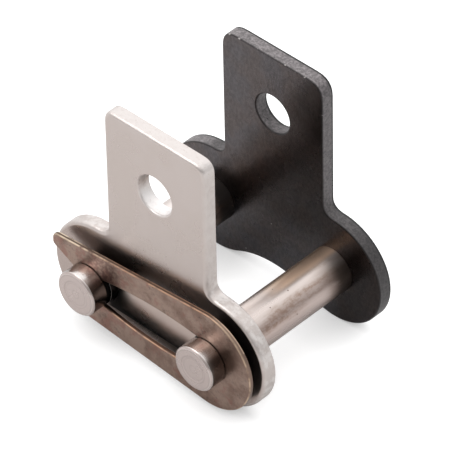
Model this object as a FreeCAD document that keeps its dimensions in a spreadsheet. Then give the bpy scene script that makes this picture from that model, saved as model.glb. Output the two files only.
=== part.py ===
"""Chain connecting link with straight attachment tabs, held by a spring clip.

Two steel plates carry a pair of pins one pitch apart. The rear plate has the pins pressed in
and riveted. The connecting plate in front slips over their free ends, and a spring clip snaps
into a groove near each end to keep it on. Each plate rises into a straight tab with one hole.

Millimetres, +Z up. X runs along the pitch and Y along the pins, with the connecting plate
and the clip at -Y. The origin is the middle of the link's footprint, on the surface that
the lobes of the plates stand on.
"""
import FreeCAD, Part
import math
import os

import Sketcher

SIZES = {
    # plates
    "pitch": 19.05,                 # between the pin axes
    "plate_gap": 17.8,              # between the facing sides of the plates
    "plate_thickness": 1.9,
    "lobe_radius": 7.5,             # round end of a plate, about its pin
    "waist_radius": 13.0,           # hollow in the lower edge, between the lobes
    "tab_width": 15.88,
    "tab_height": 26.8,             # pitch line to the top of the tab
    "cover_corner_radius": 1.7,     # top corners of the connecting plate's tab
    "rear_corner_radius": 2.4,      # top corners of the rear plate's tab
    "tab_root_radius": 1.4,
    "tab_hole_diameter": 5.3,
    "tab_hole_height": 18.3,        # pitch line to the hole
    "hole_chamfer": 0.2,
    "cover_edge_round": 0.6,        # tumbled front edge of the connecting plate
    "plate_edge_break": 0.15,       # every other edge of the plates
    # pins
    "pin_diameter": 5.96,
    "pin_reach": 4.1,               # free end beyond the connecting plate
    "pin_end_chamfer": 0.15,
    "end_ring_diameter": 3.4,       # shallow turned centre of the free end
    "end_ring_depth": 0.06,
    "rivet_reach": 1.2,             # riveted end beyond the rear plate
    "rivet_flare": 0.25,            # how far the riveted end spreads past the pin
    "rivet_land": 0.4,              # straight side of the spread end
    "rivet_taper": 0.65,            # spread side to end face, on the radius
    "slip_clearance": 0.05,         # pin to connecting plate, on the radius
    # grooves
    "groove_diameter": 4.9,
    "groove_side_clearance": 0.05,  # clip to groove wall, each side
    "seat_clearance": 0.03,         # clip to groove floor, on the radius
    # spring clip
    "clip_thickness": 0.6,
    "clip_standoff": 1.15,          # connecting plate to clip
    "nose_radius": 6.88,            # closed end, outside
    "nose_offset": -0.05,           # centre of the closed end beyond its pin
    "tail_half_width": 5.3,         # outside edge above the other pin
    "slot_half_width": 2.92,        # widest half of the opening between the legs
    "slot_crest": 2.2,              # where that is, from the middle towards the nose
    "slot_bow_radius": 48.0,        # inside edge of a leg
    "mouth_half_gap": 1.18,         # half the way in, at the tail pin
    "flare_angle": 27.4,            # lead-in of the mouth, degrees
    "long_tip_reach": 5.95,         # upper leg's end beyond the tail pin
    "short_tip_reach": 4.95,        # lower leg's end beyond it
    "tip_radius": 1.0,
    "heel_radius": 0.6,
    "mouth_corner_radius": 0.4,
    "neck_corner_radius": 0.9,
    "clip_edge_break": 0.1,
}

# Stations along the pins and radii that several pieces share, as expressions on the sheet
PIN_LENGTH = "(sizes.pin_reach + 2 * sizes.plate_thickness + sizes.plate_gap + sizes.rivet_reach)"
FREE_END = f"(-{PIN_LENGTH} / 2)"
COVER_FRONT = f"({FREE_END} + sizes.pin_reach)"
CLIP_FRONT = f"({COVER_FRONT} - sizes.clip_standoff - sizes.clip_thickness)"
REAR_PLATE_FRONT = f"({COVER_FRONT} + sizes.plate_thickness + sizes.plate_gap)"
SEAT_RADIUS = "(sizes.groove_diameter / 2 + sizes.seat_clearance)"
HALF_PITCH = "(sizes.pitch / 2)"

# How a sketch counts the points of an edge, and its own axes and origin
START, END, CENTRE = range(1, 4)
X_AXIS, Y_AXIS = range(-1, -3, -1)
ORIGIN = (X_AXIS, START)
NEAR = 1e-3

doc = FreeCAD.newDocument("connecting_link")
sheet = doc.addObject("Spreadsheet::Sheet", "sizes")
for row, (alias, number) in enumerate(SIZES.items(), start=1):
    sheet.set(f"A{row}", alias)
    sheet.set(f"B{row}", str(number))
    sheet.setAlias(f"B{row}", alias)
doc.recompute()


def size(name):
    """The sheet's value of one named size."""
    return float(sheet.get(name))


def new_body(name, x, y):
    """A body whose own origin lies on the pitch line, at x and y in the link's frame."""
    body = doc.addObject("PartDesign::Body", name)
    body.Label = name
    body.setExpression(".Placement.Base.x", x)
    body.setExpression(".Placement.Base.y", y)
    body.setExpression(".Placement.Base.z", "sizes.lobe_radius")
    return body


class Profile:
    """A sketch on one of a body's origin planes, with its dimensions bound to the sheet."""

    def __init__(self, body, name, plane="XZ_Plane"):
        self.sketch = body.newObject("Sketcher::SketchObject", name)
        base = next(p for p in body.Origin.OriginFeatures if p.Role == plane)
        self.sketch.AttachmentSupport = [(base, "")]
        self.sketch.MapMode = "FlatFace"

    def line(self, start, end):
        """A straight edge, drawn near its final place."""
        edge = Part.LineSegment(FreeCAD.Vector(*start, 0), FreeCAD.Vector(*end, 0))
        return self.sketch.addGeometry(edge, False)

    def arc(self, centre, start, end):
        """An arc that runs counterclockwise from start to end about centre."""
        a0 = math.atan2(start[1] - centre[1], start[0] - centre[0])
        a1 = math.atan2(end[1] - centre[1], end[0] - centre[0])
        circle = Part.Circle(FreeCAD.Vector(*centre, 0), FreeCAD.Vector(0, 0, 1), math.dist(centre, start))
        return self.sketch.addGeometry(Part.ArcOfCircle(circle, a0, a1), False)

    def circle(self, centre, diameter, where):
        """A full circle: its centre's expressions, its diameter's, and a first place."""
        shape = Part.Circle(FreeCAD.Vector(*where, 0), FreeCAD.Vector(0, 0, 1), 1)
        edge = self.sketch.addGeometry(shape, False)
        self.place(edge, CENTRE, *centre)
        self.bind("Diameter", diameter, edge)

    def tie(self, kind, *references):
        """A constraint without a dimension, such as Tangent or Coincident."""
        self.sketch.addConstraint(Sketcher.Constraint(kind, *references))

    def bind(self, kind, expression, *references):
        """A dimension that follows an expression on the sheet."""
        number = FreeCAD.Units.Quantity(self.sketch.evalExpression(expression)).Value
        if kind == "Angle":
            number = math.radians(number)
        index = self.sketch.addConstraint(Sketcher.Constraint(kind, *references, number))
        self.sketch.setExpression(f"Constraints[{index}]", expression)

    def place(self, edge, end, x, y):
        """Puts one point of an edge at x and y, each an expression or None for the axis."""
        if x is None:
            self.tie("PointOnObject", edge, end, Y_AXIS)
        else:
            self.bind("DistanceX", x, *ORIGIN, edge, end)
        if y is None:
            self.tie("PointOnObject", edge, end, X_AXIS)
        else:
            self.bind("DistanceY", y, *ORIGIN, edge, end)

    def chain(self, *ends):
        """Joins points in pairs: (edge, end, edge, end) for each corner."""
        for corner in ends:
            self.tie("Coincident", *corner)


def feature(body, kind, name, **properties):
    """Adds a feature to a body, sets its properties and brings the model up to date."""
    item = body.newObject(f"PartDesign::{kind}", name)
    for key, value in properties.items():
        setattr(item, key, value)
    return item


def pad(body, profile, thickness):
    """Raises a profile from the front face towards +Y."""
    item = feature(body, "Pad", f"{body.Name}_blank", Profile=profile.sketch, Reversed=True)
    item.setExpression("Length", thickness)
    doc.recompute()
    return item


def through_cut(body, profile, name):
    """Cuts a profile right through a plate, and checks that it took material."""
    before = body.Shape.Volume
    item = feature(body, "Pocket", name, Profile=profile.sketch, Type=1)
    doc.recompute()
    if body.Shape.Volume >= before - NEAR:
        raise RuntimeError(f"{name} cuts nothing")
    return item


def soften(body, kind, name, base, edges, amount):
    """Rounds (Fillet) or breaks (Chamfer) named edges or whole faces by one size."""
    if not edges:
        raise RuntimeError(f"{name} finds no edge")
    item = feature(body, kind, name, Base=(base, edges))
    item.setExpression("Radius" if kind == "Fillet" else "Size", amount)
    doc.recompute()
    return item


def corner_edges(item, corners):
    """Names of the straight edges along Y that pass through the given (x, z) corners."""
    found = []
    for number, edge in enumerate(item.Shape.Edges, start=1):
        if edge.Curve.TypeId != "Part::GeomLine" or abs(edge.tangentAt(edge.FirstParameter).y) < 0.5:
            continue
        middle = edge.CenterOfMass
        if any(math.dist((middle.x, middle.z), corner) < NEAR for corner in corners):
            found.append(f"Edge{number}")
    return found


def faces_across(item, *stations):
    """Names of the flat faces across Y at the given stations in the body's own frame."""
    found = []
    for number, face in enumerate(item.Shape.Faces, start=1):
        box = face.BoundBox
        flat = box.YLength < NEAR
        if flat and any(abs(box.YMin - y) < NEAR for y in stations):
            found.append(f"Face{number}")
    return found


def rim_edges(item, centre, radius, *stations):
    """Names of the round edges of one hole at the given stations."""
    found = []
    for number, edge in enumerate(item.Shape.Edges, start=1):
        curve = edge.Curve
        if curve.TypeId != "Part::GeomCircle" or abs(curve.Radius - radius) > NEAR:
            continue
        at_hole = math.dist((curve.Center.x, curve.Center.z), centre) < NEAR
        if at_hole and any(abs(curve.Center.y - y) < NEAR for y in stations):
            found.append(f"Edge{number}")
    return found


def plate_outline(body):
    """Two lobes joined by a hollow waist below, with a straight tab standing between them."""
    half, lobe, waist = size("pitch") / 2, size("lobe_radius"), size("waist_radius")
    tab, top = size("tab_width") / 2, size("tab_height")
    drop = math.sqrt((lobe + waist) ** 2 - half ** 2)
    touch = (half * waist / (lobe + waist), -drop * lobe / (lobe + waist))
    root = (tab, math.sqrt(lobe ** 2 - (half - tab) ** 2))

    outline = Profile(body, f"{body.Name}_outline")
    right = outline.arc((half, 0), touch, root)
    side = outline.line(root, (tab, top))
    crown = outline.line((tab, top), (-tab, top))
    far_side = outline.line((-tab, top), (-tab, root[1]))
    left = outline.arc((-half, 0), (-tab, root[1]), (-touch[0], touch[1]))
    hollow = outline.arc((0, -drop), touch, (-touch[0], touch[1]))

    outline.chain((right, END, side, START), (side, END, crown, START),
                  (crown, END, far_side, START), (far_side, END, left, START))
    outline.tie("Tangent", left, END, hollow, END)
    outline.tie("Tangent", hollow, START, right, START)
    outline.tie("Vertical", side)
    outline.tie("Horizontal", crown)
    outline.tie("Vertical", far_side)
    outline.place(right, CENTRE, HALF_PITCH, None)
    outline.place(left, CENTRE, f"-{HALF_PITCH}", None)
    outline.bind("Radius", "sizes.lobe_radius", right)
    outline.tie("Equal", right, left)
    outline.bind("Radius", "sizes.waist_radius", hollow)
    outline.place(side, END, "sizes.tab_width / 2", "sizes.tab_height")
    outline.bind("DistanceX", "-sizes.tab_width / 2", *ORIGIN, far_side, START)
    return outline, root


def link_plate(name, front, pin_hole, tab_corner, front_edge):
    """One plate: outline, softened corners and edges, two pin holes and the tab's hole."""
    body = new_body(name, "0 mm", front)
    outline, root = plate_outline(body)
    blank = pad(body, outline, "sizes.plate_thickness")
    tab, top, thickness = size("tab_width") / 2, size("tab_height"), size("plate_thickness")
    corners = soften(body, "Fillet", f"{name}_tab_corners", blank,
                     corner_edges(blank, [(tab, top), (-tab, top)]), tab_corner)
    roots = soften(body, "Fillet", f"{name}_tab_roots", corners,
                   corner_edges(corners, [root, (-root[0], root[1])]), "sizes.tab_root_radius")
    back = soften(body, "Chamfer", f"{name}_back_edge", roots,
                  faces_across(roots, thickness), "sizes.plate_edge_break")
    kind, amount = front_edge
    soften(body, kind, f"{name}_front_edge", back, faces_across(back, 0), amount)

    holes = Profile(body, f"{name}_pin_holes_sketch")
    for x in (f"-{HALF_PITCH}", HALF_PITCH):
        side = -1 if x.startswith("-") else 1
        holes.circle((x, None), pin_hole, (side * size("pitch") / 2, 0))
    through_cut(body, holes, f"{name}_pin_holes")

    tab_hole = Profile(body, f"{name}_tab_hole_sketch")
    height = size("tab_hole_height")
    tab_hole.circle((None, "sizes.tab_hole_height"), "sizes.tab_hole_diameter", (0, height))
    drilled = through_cut(body, tab_hole, f"{name}_tab_hole")
    rims = rim_edges(drilled, (0, height), size("tab_hole_diameter") / 2, 0, thickness)
    return body, soften(body, "Chamfer", f"{name}_tab_hole_rims", drilled, rims, "sizes.hole_chamfer")


def connecting_plate():
    """The loose plate: it slips over the pins, and its pin holes have a lead-in in front."""
    bore = "(sizes.pin_diameter + 2 * sizes.slip_clearance)"
    body, plate = link_plate("connecting_plate", COVER_FRONT, bore, "sizes.cover_corner_radius",
                             ("Fillet", "sizes.cover_edge_round"))
    half, radius = size("pitch") / 2, size("pin_diameter") / 2 + size("slip_clearance")
    rims = [edge for x in (-half, half) for edge in rim_edges(plate, (x, 0), radius, 0)]
    soften(body, "Chamfer", "connecting_plate_lead_in", plate, rims, "sizes.hole_chamfer")
    return body


def pin_link_plate():
    """The fixed plate: the pins are a press fit in its holes."""
    body, _ = link_plate("pin_link_plate", REAR_PLATE_FRONT, "sizes.pin_diameter",
                         "sizes.rear_corner_radius", ("Chamfer", "sizes.plate_edge_break"))
    return body


def pin(name, x):
    """A pin turned about Y: grooved free end in front, riveted end behind the rear plate."""
    body = new_body(name, x, FREE_END)
    radius = "sizes.pin_diameter / 2"
    groove = "sizes.groove_diameter / 2"
    ring = "sizes.end_ring_diameter / 2"
    spread = "(sizes.pin_diameter / 2 + sizes.rivet_flare)"
    slack = "sizes.groove_side_clearance"
    groove_front = f"(sizes.pin_reach - sizes.clip_standoff - sizes.clip_thickness - {slack})"
    groove_back = f"(sizes.pin_reach - sizes.clip_standoff + {slack})"
    rivet_seat = f"({PIN_LENGTH} - sizes.rivet_reach)"
    corners = [
        (None, "sizes.end_ring_depth"),
        (ring, "sizes.end_ring_depth"),
        (f"{ring} + 2 * sizes.end_ring_depth", None),
        (f"{radius} - sizes.pin_end_chamfer", None),
        (radius, "sizes.pin_end_chamfer"),
        (radius, groove_front),
        (groove, groove_front),
        (groove, groove_back),
        (radius, groove_back),
        (radius, rivet_seat),
        (spread, rivet_seat),
        (spread, f"{rivet_seat} + sizes.rivet_land"),
        (f"{spread} - sizes.rivet_taper", PIN_LENGTH),
        (None, PIN_LENGTH),
    ]
    profile = Profile(body, f"{name}_profile", "XY_Plane")
    points = []
    for across, along in corners:
        points.append(tuple(0.0 if text is None else FreeCAD.Units.Quantity(
            profile.sketch.evalExpression(text)).Value for text in (across, along)))
    edges = [profile.line(a, b) for a, b in zip(points, points[1:] + points[:1])]
    for edge, (across, along) in zip(edges, corners):
        profile.place(edge, START, across, along)
    for edge, following in zip(edges, edges[1:] + edges[:1]):
        profile.tie("Coincident", edge, END, following, START)
    turned = feature(body, "Revolution", f"{name}_turned", Profile=profile.sketch,
                     ReferenceAxis=(profile.sketch, ["V_Axis"]), Angle=360)
    doc.recompute()
    return turned


def meet_left(centre, radius, bow, bow_radius):
    """Where the bowed inside edge runs into a seat circle, on the slot's side of it."""
    across, up = centre[0] - bow[0], centre[1] - bow[1]
    apart = math.hypot(across, up)
    along = (apart ** 2 + bow_radius ** 2 - radius ** 2) / (2 * apart)
    off = math.sqrt(bow_radius ** 2 - along ** 2)
    side = 1 if across < 0 else -1
    return (bow[0] + (along * across + side * off * up) / apart,
            bow[1] + (along * up - side * off * across) / apart)


def on_side(point, up):
    """The same point on the upper leg (up = 1) or on the lower one (up = -1)."""
    return (point[0], up * point[1])


def spring_clip():
    """A hairpin of spring strip: closed nose round one pin, two legs that grip the other."""
    half, seat = size("pitch") / 2, size("groove_diameter") / 2 + size("seat_clearance")
    nose, nose_x = size("nose_radius"), size("pitch") / 2 + size("nose_offset")
    tail, gap = size("tail_half_width"), size("mouth_half_gap")
    bow_radius, crest = size("slot_bow_radius"), size("slot_crest")
    slope = math.radians(size("flare_angle"))

    # outside edge: the tangent to the nose that passes the tail pin at tail_half_width
    lean = math.atan2(tail, nose_x + half)
    turn = math.asin(nose / math.hypot(nose_x + half, tail)) - lean
    shoulder = (nose_x - nose * math.sin(turn), nose * math.cos(turn))
    mouth = (-half - math.sqrt(seat ** 2 - gap ** 2), gap)
    bow = (crest, size("slot_half_width") - bow_radius)
    neck = meet_left((-half, 0), seat, bow, bow_radius)
    throat = meet_left((half, 0), seat, bow, bow_radius)

    body = new_body("spring_clip", "0 mm", CLIP_FRONT)
    outline = Profile(body, "spring_clip_outline")
    closed_end = outline.arc((nose_x, 0), (shoulder[0], -shoulder[1]), shoulder)
    nose_seat = outline.arc((half, 0), (throat[0], -throat[1]), throat)
    outline.place(closed_end, CENTRE, f"{HALF_PITCH} + sizes.nose_offset", None)
    outline.bind("Radius", "sizes.nose_radius", closed_end)
    outline.place(nose_seat, CENTRE, HALF_PITCH, None)
    outline.bind("Radius", SEAT_RADIUS, nose_seat)

    tips, heels = [], []
    for up, reach in ((1, "long_tip_reach"), (-1, "short_tip_reach")):
        tip_x = -half - size(reach)
        tip = (tip_x, up * (tail - math.tan(turn) * size(reach)))
        heel = (tip_x, up * (gap + math.tan(slope) * (mouth[0] - tip_x)))
        tips.append(tip)
        heels.append(heel)
        near, far = (END, START) if up > 0 else (START, END)
        outer = outline.line(on_side(shoulder, up), tip)
        tip_end = outline.line(tip, heel)
        lead_in = outline.line(heel, on_side(mouth, up))
        jaw_ends = [on_side(mouth, up), on_side(neck, up)][::-up]
        jaw = outline.arc((-half, 0), *jaw_ends)
        bow_ends = [on_side(neck, up), on_side(throat, up)][::-up]
        inner = outline.arc(on_side(bow, up), *bow_ends)
        mark = outline.sketch.addGeometry(Part.Point(FreeCAD.Vector(-half, up * tail, 0)), True)

        outline.tie("Tangent", closed_end, near, outer, START)
        outline.chain((outer, END, tip_end, START), (tip_end, END, lead_in, START),
                      (lead_in, END, jaw, near), (jaw, far, inner, near),
                      (inner, far, nose_seat, near))
        sign = "" if up > 0 else "-"
        outline.place(mark, START, f"-{HALF_PITCH}", f"{sign}sizes.tail_half_width")
        outline.tie("PointOnObject", mark, START, outer)
        outline.tie("Vertical", tip_end)
        outline.bind("DistanceX", f"-{HALF_PITCH} - sizes.{reach}", *ORIGIN, tip_end, START)
        outline.bind("DistanceY", f"{sign}sizes.mouth_half_gap", *ORIGIN, lead_in, END)
        outline.bind("Angle", f"{sign}(-1) * sizes.flare_angle * 1 deg", lead_in)
        outline.place(jaw, CENTRE, f"-{HALF_PITCH}", None)
        outline.tie("Equal", jaw, nose_seat)
        outline.place(inner, CENTRE, "sizes.slot_crest",
                      f"{sign}(sizes.slot_half_width - sizes.slot_bow_radius)")
        outline.bind("Radius", "sizes.slot_bow_radius", inner)

    item = pad(body, outline, "sizes.clip_thickness")
    for name, corners, radius in (
        ("tips", tips, "tip_radius"),
        ("heels", heels, "heel_radius"),
        ("mouth", [mouth, on_side(mouth, -1)], "mouth_corner_radius"),
        ("neck", [neck, on_side(neck, -1)], "neck_corner_radius"),
    ):
        item = soften(body, "Fillet", f"spring_clip_{name}", item,
                      corner_edges(item, corners), f"sizes.{radius}")
    sides = faces_across(item, 0, size("clip_thickness"))
    return soften(body, "Chamfer", "spring_clip_edges", item, sides, "sizes.clip_edge_break")


connecting_plate()
pin_link_plate()
pin("pin_left", f"-{HALF_PITCH}")
pin("pin_right", HALF_PITCH)
spring_clip()
doc.recompute()

for item in doc.Objects:
    if {"Invalid", "Error"} & set(item.State):
        raise RuntimeError(f"{item.Label} failed: {item.State}")
    if item.TypeId == "Sketcher::SketchObject" and not item.FullyConstrained:
        raise RuntimeError(f"{item.Label} is not fully constrained")

os.makedirs("parts", exist_ok=True)
for body in doc.findObjects("PartDesign::Body"):
    shape = body.Shape
    if shape.isNull() or not shape.isValid() or len(shape.Solids) != 1:
        raise RuntimeError(f"{body.Label} is not one valid solid")
    shape.exportStep(f"parts/{body.Label}.step")
    box = shape.BoundBox
    print(f"{body.Label:18s} volume {shape.Volume:9.3f}  faces {len(shape.Faces):3d}  "
          f"x {box.XMin:8.3f} {box.XMax:8.3f}  y {box.YMin:8.3f} {box.YMax:8.3f}  "
          f"z {box.ZMin:8.3f} {box.ZMax:8.3f}")
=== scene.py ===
"""A chain connecting link in its steel finishes, in a white studio.

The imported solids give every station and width. Each plate, pin and the spring clip is made again
here with eased arrises and turned faces, and dressed in nickel, black oxide, ground or tempered
steel. Outlines are drawn in millimetres about the middle of the pitch line; finished meshes are in
metres, in the frame of the solids: X along the pitch, Y along the pins, Z up.
"""
from __future__ import annotations

import logging
import math
from dataclasses import dataclass, field
from enum import Enum
from typing import Iterable, Mapping, Optional, Union

import bmesh
import bpy
from mathutils import Matrix, Vector


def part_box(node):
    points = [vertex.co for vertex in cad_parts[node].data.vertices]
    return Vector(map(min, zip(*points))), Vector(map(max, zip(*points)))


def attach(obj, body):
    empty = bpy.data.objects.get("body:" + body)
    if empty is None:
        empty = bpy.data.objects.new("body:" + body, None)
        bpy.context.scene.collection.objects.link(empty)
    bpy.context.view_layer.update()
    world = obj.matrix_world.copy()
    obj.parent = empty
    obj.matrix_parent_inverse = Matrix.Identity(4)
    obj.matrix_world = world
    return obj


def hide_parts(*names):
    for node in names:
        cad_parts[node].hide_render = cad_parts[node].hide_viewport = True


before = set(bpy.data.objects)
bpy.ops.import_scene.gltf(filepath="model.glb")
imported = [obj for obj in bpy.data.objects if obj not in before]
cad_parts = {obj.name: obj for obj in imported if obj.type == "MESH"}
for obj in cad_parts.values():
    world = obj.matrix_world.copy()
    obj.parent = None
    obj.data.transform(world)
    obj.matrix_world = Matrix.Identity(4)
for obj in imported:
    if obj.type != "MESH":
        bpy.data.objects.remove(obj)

MM = 0.001
SAME_POINT = 1e-4
HARD_CORNER = math.radians(38.0)
WHITE = (1.0, 1.0, 1.0, 1.0)
log = logging.getLogger("connecting_link")

Point = tuple[float, float]
Triple = tuple[float, float, float]
Colour = Triple
Feed = Union["Value", float, int, bool, tuple, list, str, bpy.types.Material, None]


class Body(Enum):
    """The rigid bodies that pieces ride on."""

    PIN_LINK = "pin_link"
    LOOSE_PLATE = "loose_plate"


class Slot(Enum):
    """The record's material slots."""

    NICKEL = "nickel_plated_steel"
    OXIDE = "black_oxide_steel"
    GROUND = "ground_pin_steel"
    TEMPERED = "tempered_spring_steel"


class Mark(Enum):
    """Attributes that a mesh carries for its finish, from 0 to 1."""

    ARRIS = "arris"
    CUT = "cut"


class Edge(Enum):
    """The edges of a blank, by the number that their splines carry as a radius."""

    OUTSIDE = 1.0
    TAB_HOLE = 0.5
    PIN_HOLE = 0.25


class Leg(Enum):
    """The two legs of the spring clip, by the sign of their height."""

    UPPER = 1
    LOWER = -1


# Outlines


@dataclass
class Run:
    """A stretch of an outline, and the radius that eases the corner at its start."""

    points: list[Vector]
    ease: float


@dataclass
class Outline:
    """A closed outline, drawn run by run, whose corners are eased when it is read."""

    runs: list[Run] = field(default_factory=list)
    step: float = math.radians(3.0)

    def line(self, start: Point, end: Point, ease: float = 0.0) -> None:
        """Adds a straight run."""
        self.runs.append(Run([Vector(start), Vector(end)], ease))

    def arc(self, centre: Point, start: Point, end: Point, turn: int = 1, ease: float = 0.0) -> None:
        """Adds a run along a circle.

        Args:
            centre: Centre of the circle.
            start: First point, which also sets the radius.
            end: A point in the direction of the last one.
            turn: 1 for counterclockwise, -1 for clockwise.
            ease: Radius of the corner at the start.
        """
        middle, radius = Vector(centre), (Vector(start) - Vector(centre)).length
        first = math.atan2(start[1] - centre[1], start[0] - centre[0])
        last = math.atan2(end[1] - centre[1], end[0] - centre[0])
        sweep = turn * ((turn * (last - first)) % math.tau)
        count = max(2, math.ceil(abs(sweep) / self.step))
        angles = (first + sweep * i / count for i in range(count + 1))
        self.runs.append(Run([middle + radius * Vector((math.cos(a), math.sin(a))) for a in angles], ease))

    def points(self) -> list[Vector]:
        """The whole outline as one closed ring.

        Returns:
            Its points in order, the last of them next to the first.
        """
        stretches = [list(run.points) for run in self.runs]
        corners: list[list[Vector]] = []
        for i, run in enumerate(self.runs):
            before, after = stretches[i - 1], stretches[i]
            if run.ease <= 0:
                corners.append([])
                continue
            bend = (before[-1] - before[-2]).angle(after[1] - after[0])
            reach = run.ease * math.tan(bend / 2)
            stretches[i - 1] = shortened(before[::-1], reach)[::-1]
            stretches[i] = shortened(after, reach)
            corners.append(eased(stretches[i - 1], stretches[i]))
        closed: list[Vector] = []
        for corner, stretch in zip(corners, stretches):
            for point in corner + stretch:
                if not closed or (point - closed[-1]).length > SAME_POINT:
                    closed.append(point)
        if (closed[0] - closed[-1]).length < SAME_POINT:
            closed.pop()
        return closed


def shortened(points: list[Vector], reach: float) -> list[Vector]:
    """Takes a length off the start of a run.

    Args:
        points: The run.
        reach: Length to take off, shorter than the run.

    Returns:
        The rest of the run, with its new first point.
    """
    rest = list(points)
    while (rest[1] - rest[0]).length < reach:
        reach -= (rest[1] - rest[0]).length
        rest.pop(0)
    rest[0] = rest[0].lerp(rest[1], reach / (rest[1] - rest[0]).length)
    return rest


def eased(before: list[Vector], after: list[Vector], count: int = 6) -> list[Vector]:
    """A smooth bend from the end of one run to the start of the next.

    Args:
        before: The run that comes in.
        after: The run that goes out.
        count: Number of pieces in the bend.

    Returns:
        The points between the two ends.
    """
    start, end = before[-1], after[0]
    way_in, way_out = (before[-1] - before[-2]).normalized(), (after[1] - after[0]).normalized()
    cross = way_in.x * way_out.y - way_in.y * way_out.x
    gap = end - start
    corner = start + way_in * ((gap.x * way_out.y - gap.y * way_out.x) / cross)
    shares = (i / count for i in range(1, count))
    return [start * (1 - t) ** 2 + corner * 2 * t * (1 - t) + end * t ** 2 for t in shares]


def ring(centre: Point, radius: float, count: int = 96) -> list[Vector]:
    """A hole's edge, clockwise, so that the plate lies on its left as it does along the outside edge.

    Args:
        centre: Centre of the hole.
        radius: Its radius.
        count: Number of points.

    Returns:
        The points of the circle.
    """
    turns = (-math.tau * i / count for i in range(count))
    return [Vector((centre[0] + radius * math.cos(a), centre[1] + radius * math.sin(a))) for a in turns]


def finer(points: list[Vector], numbers: list[float], step: float) -> tuple[list[Vector], list[float]]:
    """Divides the long stretches of a line across a turned face.

    Args:
        points: The line's points.
        numbers: A number for each of them.
        step: Longest stretch that stays whole where the line runs across the axis.

    Returns:
        The points and numbers of the divided line.
    """
    out, carried = [points[0]], [numbers[0]]
    for a, b, m, n in zip(points, points[1:], numbers, numbers[1:]):
        across = abs(b.x - a.x) > abs(b.y - a.y)
        count = max(1, round((b - a).length / step)) if across else 1
        for i in range(1, count + 1):
            out.append(a.lerp(b, i / count))
            carried.append(n if i == count else min(m, n))
    return out, carried


def drawn(name: str, rings: Iterable[tuple[list[Vector], list[float]]], closed: bool = True) -> bpy.types.Object:
    """A curve object with one straight-sided spline for each ring.

    Args:
        name: Name of the object.
        rings: Points of each spline, with the number that each point carries as its radius.
        closed: Whether the splines close on themselves.

    Returns:
        The curve object, in the scene.
    """
    curve = bpy.data.curves.new(name, "CURVE")
    curve.dimensions = "3D"
    for points, carried in rings:
        spline = curve.splines.new("POLY")
        spline.points.add(len(points) - 1)
        spline.use_cyclic_u = closed
        for place, point, number in zip(spline.points, points, carried):
            place.co = (point.x, point.y, 0.0, 1.0)
            place.radius = number
    return shown(name, curve)


def shown(name: str, data: bpy.types.ID) -> bpy.types.Object:
    """Puts a mesh, curve, lamp or lens into the scene.

    Args:
        name: Name of its object.
        data: What the object holds.

    Returns:
        The object, at the origin.
    """
    piece = bpy.data.objects.new(name, data)
    bpy.context.scene.collection.objects.link(piece)
    return piece


# Node trees


@dataclass(frozen=True)
class Value:
    """What a node gives, which plain arithmetic takes further in the same tree."""

    graph: Graph
    socket: bpy.types.NodeSocket

    def __add__(self, other: Feed) -> Value:
        """The sum."""
        return self.graph.math("ADD", self, other)

    def __sub__(self, other: Feed) -> Value:
        """What is left when the other is taken off."""
        return self.graph.math("SUBTRACT", self, other)

    def __rsub__(self, other: Feed) -> Value:
        """What is left of the other."""
        return self.graph.math("SUBTRACT", other, self)

    def __mul__(self, other: Feed) -> Value:
        """The product."""
        return self.graph.math("MULTIPLY", self, other)

    def __truediv__(self, other: Feed) -> Value:
        """The quotient."""
        return self.graph.math("DIVIDE", self, other)

    def __lt__(self, other: Feed) -> Value:
        """1 where this is the smaller, else 0."""
        return self.graph.math("LESS_THAN", self, other)

    def __gt__(self, other: Feed) -> Value:
        """1 where this is the larger, else 0."""
        return self.graph.math("GREATER_THAN", self, other)

    def __abs__(self) -> Value:
        """The size without the sign."""
        return self.graph.math("ABSOLUTE", self)

    def span(self, low: float, high: float) -> Value:
        """Its place between low and high, from 0 to 1, with soft ends."""
        feeds = {"Value": self, "From Min": low, "From Max": high}
        return self.graph.out("ShaderNodeMapRange", feeds, interpolation_type="SMOOTHSTEP")


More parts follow.
